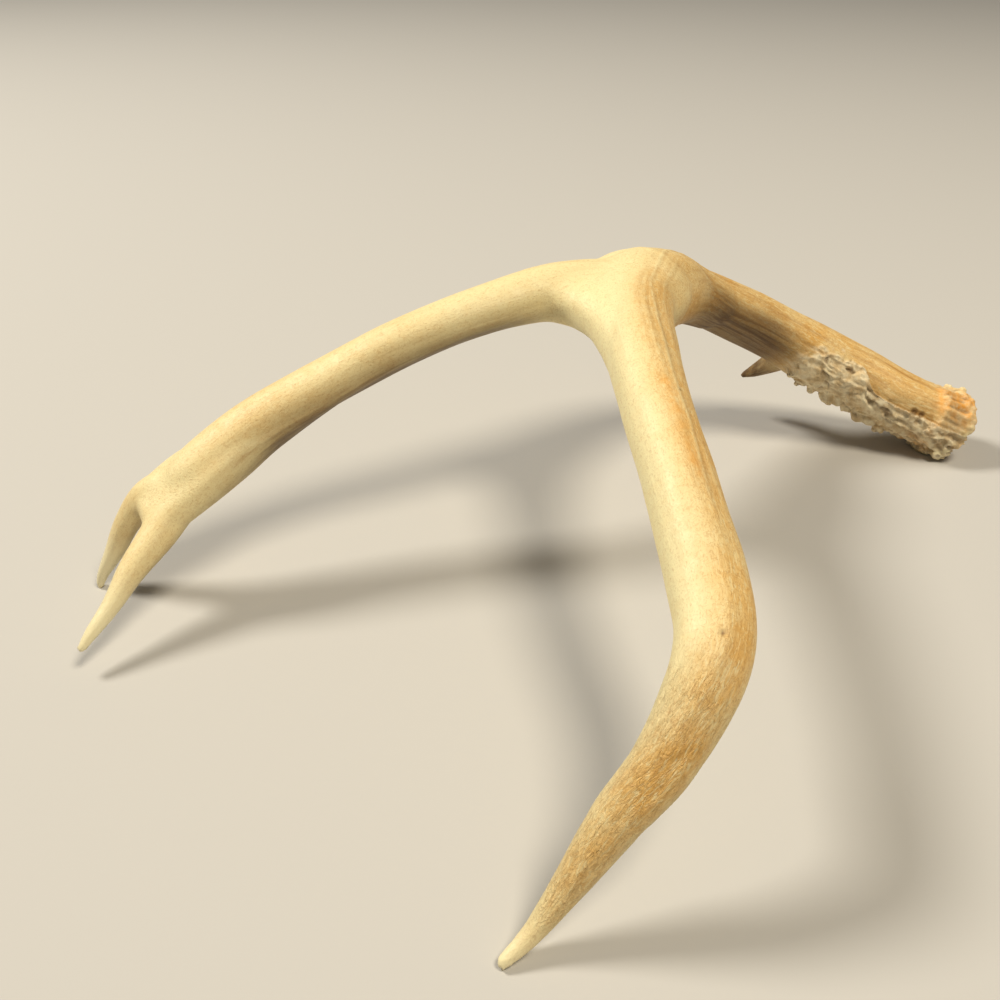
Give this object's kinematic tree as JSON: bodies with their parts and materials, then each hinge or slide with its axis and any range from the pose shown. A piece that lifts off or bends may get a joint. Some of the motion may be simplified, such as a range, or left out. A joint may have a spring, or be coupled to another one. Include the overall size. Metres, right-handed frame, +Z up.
{
  "type": "deer antler",
  "caption": "Shed deer antler lying cupped side down: a knobbly burr, a curved beam that forks, a long hooked front tine and a rear branch that ends in short tines",
  "frame": {"origin": "on the ground, under the middle of the bounding box, with the antler resting cupped side down", "axes": "+Z up; +X from the end fork towards the burr, along the longest extent; the front tine sweeps towards -Y"},
  "size_m": [0.4386, 0.3534, 0.1236],
  "materials": {
    "beam_bone": "dry antler bone, grooved and pearled, matt with a faint waxy sheen",
    "tine_bone": "dry antler bone, finely speckled, satin",
    "tip_bone": "rubbed antler bone, smooth and satin"
  },
  "bodies": {
    "root": {"main_beam": "beam_bone", "front_tine": "tine_bone", "rear_branch": "tine_bone", "fork_tine_front": "tip_bone", "fork_tine_rear": "tip_bone"}
  },
  "joints": []
}
